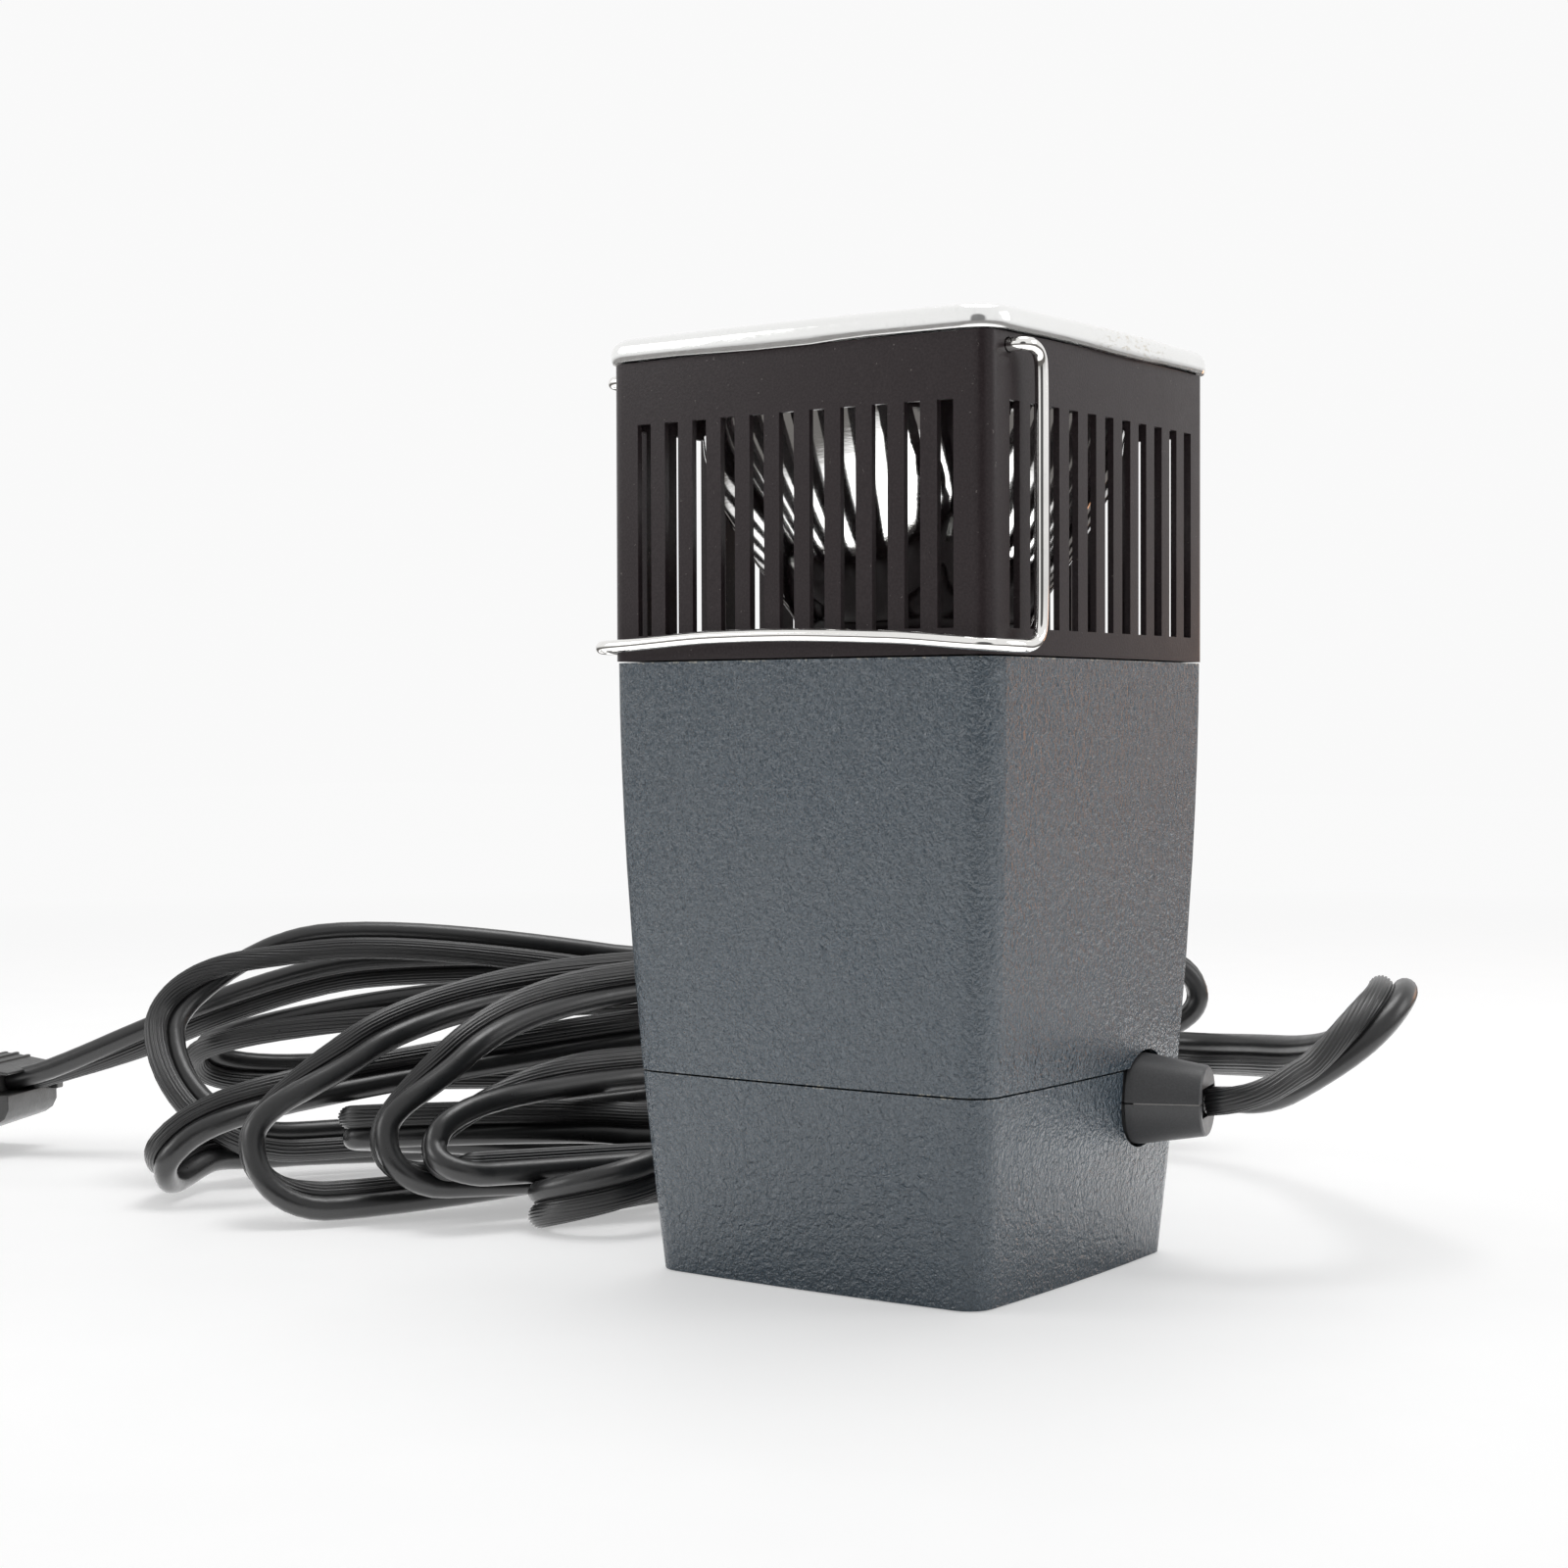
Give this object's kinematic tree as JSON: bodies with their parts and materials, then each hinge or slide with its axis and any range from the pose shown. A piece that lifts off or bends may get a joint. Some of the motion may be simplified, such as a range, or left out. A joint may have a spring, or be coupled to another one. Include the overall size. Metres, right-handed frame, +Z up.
{
  "type": "reflector lamp",
  "caption": "Upright square metal reflector lamp with a tapered housing, a slotted cage, a bright rim, a hinged wire bail, and a flat mains lead in a loose hank.",
  "frame": {"origin": "centre of the base's underside, on the lamp's own upright axis, at the surface that it stands on", "axes": "+Z up along the lamp's axis to the open mouth, -Y towards the front face where the bail hangs, +X towards the face that the lead leaves through"},
  "size_m": [0.347, 0.2008, 0.1614],
  "materials": {
    "paint": "dark blue-grey wrinkle paint",
    "black_satin": "near-black satin",
    "chrome": "bright plated",
    "mirror": "polished bowl",
    "steel": "plain",
    "brass": "plain",
    "ceramic": "unglazed white",
    "glass": "clear",
    "rubber": "matte dark grey moulding",
    "lead_black": "black satin sheath",
    "lead_coil": "black satin lead in loose loops, mostly air",
    "lead_white": "white insulated wire",
    "board": "brown insulating board"
  },
  "bodies": {
    "lamp": {"base_cup": "paint", "body_shell": "paint", "switch_frame": "rubber", "deck_plate": "black_satin", "vent_cage": "black_satin", "bezel": "chrome", "glass_gasket": "rubber", "front_glass": "glass", "reflector": "mirror", "lamp_holder": "ceramic", "holder_bracket": "steel", "lamp_base": "ceramic", "lamp_envelope": "glass", "lamp_filament": "steel", "base_screw_1": "steel", "base_screw_2": "steel", "base_screw_3": "steel", "base_screw_4": "steel", "deck_screw_1": "steel", "deck_screw_2": "steel", "deck_screw_3": "steel", "deck_screw_4": "steel", "strain_relief_upper": "rubber", "strain_relief_lower": "rubber", "insulating_board": "board", "terminal_block": "ceramic", "cord_inner": "lead_black", "lead_neutral": "lead_white", "lead_line": "lead_black", "lead_switched": "lead_black", "cord_arch": "lead_black", "cord_hank": "lead_coil", "cord_tail": "lead_black", "plug_body": "rubber", "plug_blade_1": "brass", "plug_blade_2": "brass"},
    "bail": {"bail_wire": "chrome", "bail_collar_left": "steel", "bail_collar_right": "steel"},
    "rocker": {"switch_rocker": "rubber"}
  },
  "joints": [
    {"name": "bail_swing", "type": "hinge", "parent": "lamp", "child": "bail", "pos_m": [0, -0.0321, 0.1556], "axis": [-1, 0, 0], "range_deg": [0, 248]},
    {"name": "switch_rocker", "type": "hinge", "parent": "lamp", "child": "rocker", "pos_m": [0, 0.03787, 0.08004], "axis": [-1, 0, 0], "range_deg": [0, 20]}
  ]
}
